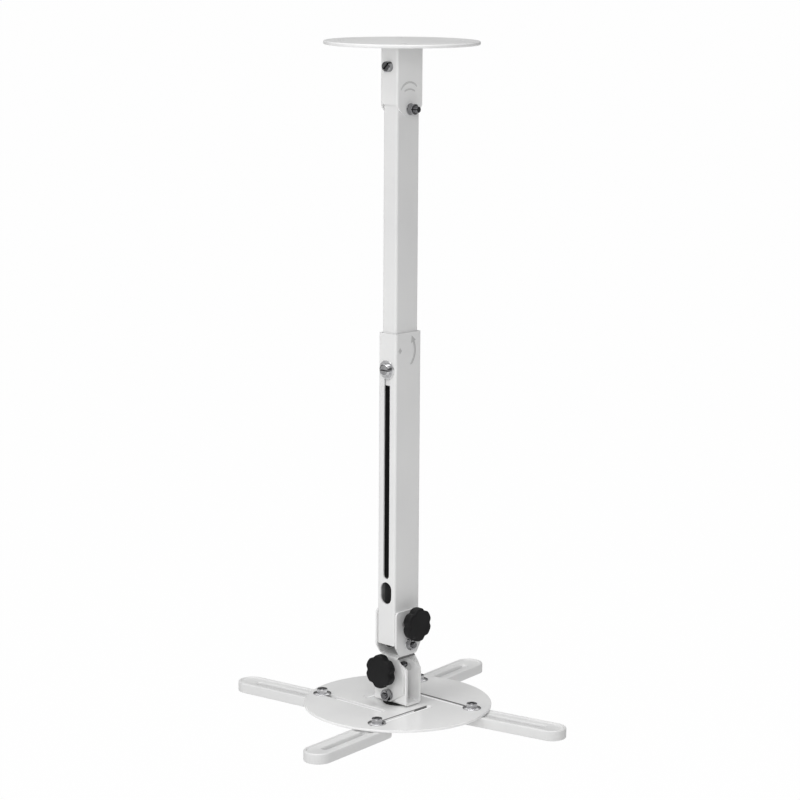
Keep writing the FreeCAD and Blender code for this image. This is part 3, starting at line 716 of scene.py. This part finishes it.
def signSurface(name, path, faceX, half, ends):
    # half-round ridge carried along a path on the wide face, as wide as the taper of its ends allows
    shape = signShape
    way = np.gradient(path, axis=0)
    way /= np.linalg.norm(way, axis=1)[:, None]
    normal = np.stack([-way[:, 1], way[:, 0]], axis=1)
    t = np.linspace(-1, 1, len(path))[:, None]
    taper = {"stroke": np.sqrt(np.clip(1 - t**shape["strokePower"], shape["strokeTip"], 1)),
             "head": np.clip((1 - t) / 2, shape["tip"], 1),
             "diamond": np.clip(1 - np.abs(t), shape["tip"], 1)}[ends]
    b = np.linspace(0, math.pi, shape["across"])[None, :]
    side = half * taper * np.cos(b)
    rise = shape["rise"] * taper * np.sin(b) - shape["sink"]
    yz = path[:, None, :] + side[..., None] * normal[:, None, :]
    points = np.concatenate([(faceX + rise)[..., None], yz], axis=2) / 1000.0
    return meshFromGrid(name, [points], shape["sharp"], closeCols=False)


for name, face, points, count, half, ends in signs:
    path = arcThrough(*points, count) if len(points) == 3 else lineBetween(*points, count)
    dress(signSurface(name, path, face["x"], half, ends), face["body"], "white_coat", face["look"])
print("signs:", len(signs))


# floor, light and camera

stageLook = {"floorZ": -1.05, "floorSize": 180.0, "floorColour": (0.90, 0.90, 0.90), "ambient": 0.41,
             "glow": 0.985, "lampTarget": (0, 0, -0.35)}
softLamps = {
    # a lamp that isn't mirrored lights the piece without showing in its gloss
    "keyLamp": {"place": (-0.25, -2.8, 0.05), "size": 0.9, "power": 10.2, "mirrored": True},
    "steepLamp": {"place": (-0.2, -1.8, 1.6), "size": 0.9, "power": 9.5, "mirrored": True},
    "fillLamp": {"place": (1.3, -1.6, 0.5), "size": 0.9, "power": 12.8, "mirrored": False},
    "topLamp": {"place": (0.2, -0.3, 2.4), "size": 1.5, "power": 35.0, "mirrored": True},
}
darkCards = {
    # middle, half width and half height, and tone of cards that only gloss can see: plated parts get edges
    "leftCard": {"place": (-1.76, -0.37, -0.62), "half": (0.50, 0.40), "tone": 0.02},
    "frontLeftCard": {"place": (-1.21, -1.33, -0.62), "half": (0.42, 0.45), "tone": 0.55},
    "rightCard": {"place": (0.90, 1.56, -0.82), "half": (0.78, 0.22), "tone": 0.02},
}
ringCard = {"count": 8, "start": 132.4, "reach": 2.5, "height": 0.20, "half": (1.05, 0.75), "tone": 0.12}
for k in range(ringCard["count"]):
    # the same grey wall all round, which the plates mirror at a low angle
    turn = math.radians(ringCard["start"]) + 2 * math.pi * k / ringCard["count"]
    place = (ringCard["reach"] * math.cos(turn), ringCard["reach"] * math.sin(turn), ringCard["height"])
    darkCards["ringCard%d" % k] = {"place": place, "half": ringCard["half"], "tone": ringCard["tone"]}
cameraView = {"place": (1.6240, -1.7780, 0.12207), "azimuth": 42.4, "down": 10.8355, "roll": 0.3715,
              "lens": 116.1, "sensor": 36.0, "clipEnd": 300.0}


def plainRayFactor(tree):
    # 1 for rays from the camera, from gloss or through glass, so they meet plain white
    path = tree.nodes.new("ShaderNodeLightPath")
    kinds = ("Is Camera Ray", "Is Glossy Ray", "Is Transmission Ray")
    return joinMasks(tree, "MAXIMUM", [path.outputs[kind] for kind in kinds])


def flatCard(name, wide, tall, z):
    # one quad at a height, twice as wide and tall as given
    mesh = bpy.data.meshes.new(name)
    corners = [(-wide, -tall, z), (wide, -tall, z), (wide, tall, z), (-wide, tall, z)]
    mesh.from_pydata(corners, [], [(0, 1, 2, 3)])
    card = bpy.data.objects.new(name, mesh)
    bpy.context.scene.collection.objects.link(card)
    return card


def makeFloor():
    # white paper that glows for what is seen directly or in gloss
    half = stageLook["floorSize"] / 2
    floor = flatCard("floor", half, half, stageLook["floorZ"])
    material = bpy.data.materials.new("floorPaper")
    material.use_nodes = True
    tree = material.node_tree
    tree.nodes.remove(tree.nodes["Principled BSDF"])
    paper = tree.nodes.new("ShaderNodeBsdfDiffuse")
    paper.inputs["Color"].default_value = (*stageLook["floorColour"], 1)
    glow = tree.nodes.new("ShaderNodeEmission")
    glow.inputs["Strength"].default_value = 1.0
    mix = tree.nodes.new("ShaderNodeMixShader")
    share = tree.nodes.new("ShaderNodeMath")
    share.operation = "MULTIPLY"
    share.inputs[1].default_value = stageLook["glow"]       # the rest stays paper, which keeps the shadow
    tree.links.new(plainRayFactor(tree), share.inputs[0])
    tree.links.new(share.outputs[0], mix.inputs[0])
    tree.links.new(paper.outputs[0], mix.inputs[1])
    tree.links.new(glow.outputs[0], mix.inputs[2])
    tree.links.new(mix.outputs[0], tree.nodes["Material Output"].inputs["Surface"])
    floor.data.materials.append(material)


def makeWorld():
    # soft light for the piece, plain white for what is seen directly or in gloss
    world = bpy.data.worlds.new("studio")
    world.use_nodes = True
    tree = world.node_tree
    plain = tree.nodes["Background"]
    plain.inputs["Strength"].default_value = stageLook["ambient"]
    plain.inputs["Color"].default_value = (1, 1, 1, 1)
    white = tree.nodes.new("ShaderNodeBackground")
    white.inputs["Color"].default_value = (1, 1, 1, 1)
    white.inputs["Strength"].default_value = 1.0
    mix = tree.nodes.new("ShaderNodeMixShader")
    tree.links.new(plainRayFactor(tree), mix.inputs[0])
    tree.links.new(plain.outputs[0], mix.inputs[1])
    tree.links.new(white.outputs[0], mix.inputs[2])
    tree.links.new(mix.outputs[0], tree.nodes["World Output"].inputs["Surface"])
    bpy.context.scene.world = world


def placed(right, up, back, place):
    # matrix of a frame from its three axes and its place
    matrix = np.eye(4)
    matrix[:3] = np.stack([right, up, back, place], axis=1)
    return Matrix(matrix.tolist())


def aimed(place, target):
    # level frame at a place, with its back turned away from the target
    back = np.array(place, dtype=float) - np.array(target, dtype=float)
    back /= np.linalg.norm(back)
    right = np.cross((0, 0, 1), back)
    right /= np.linalg.norm(right)
    return placed(right, np.cross(back, right), back, place)


def makeLamps():
    for name, lamp in softLamps.items():
        light = bpy.data.lights.new(name, "AREA")
        light.shape = "DISK"
        light.size = lamp["size"]
        light.energy = lamp["power"]
        holder = bpy.data.objects.new(name, light)
        holder.matrix_world = aimed(lamp["place"], stageLook["lampTarget"])
        holder.visible_glossy = lamp["mirrored"]
        bpy.context.scene.collection.objects.link(holder)


def makeCards():
    for name, card in darkCards.items():
        material = bpy.data.materials.new(name + "Cloth")
        material.use_nodes = True
        tree = material.node_tree
        cloth = tree.nodes.new("ShaderNodeEmission")
        cloth.inputs["Strength"].default_value = card["tone"]
        tree.links.new(cloth.outputs[0], tree.nodes["Material Output"].inputs["Surface"])
        holder = flatCard(name, *card["half"], 0)
        holder.data.materials.append(material)
        holder.matrix_world = aimed(card["place"], (0, 0, card["place"][2]))
        holder.visible_camera = holder.visible_diffuse = False
        holder.visible_shadow = holder.visible_transmission = False


def makeCamera():
    # axes of a camera that looks down by an angle and is rolled a little about its own line of sight
    a, p, r = (math.radians(cameraView[k]) for k in ("azimuth", "down", "roll"))
    back = np.array([math.sin(a) * math.cos(p), -math.cos(a) * math.cos(p), math.sin(p)])
    level = np.array([math.cos(a), math.sin(a), 0.0])
    rise = np.cross(back, level)
    right = math.cos(r) * level + math.sin(r) * rise
    up = -math.sin(r) * level + math.cos(r) * rise
    data = bpy.data.cameras.new("photoCamera")
    data.sensor_width = cameraView["sensor"]
    data.sensor_fit = "HORIZONTAL"
    data.lens = cameraView["lens"]
    data.clip_end = cameraView["clipEnd"]
    camera = bpy.data.objects.new("photoCamera", data)
    camera.matrix_world = placed(right, up, back, cameraView["place"])
    bpy.context.scene.collection.objects.link(camera)
    bpy.context.scene.camera = camera


makeFloor()
makeWorld()
makeLamps()
makeCards()
makeCamera()
bpy.context.scene.view_settings.view_transform = "Standard"
print("stage ready")
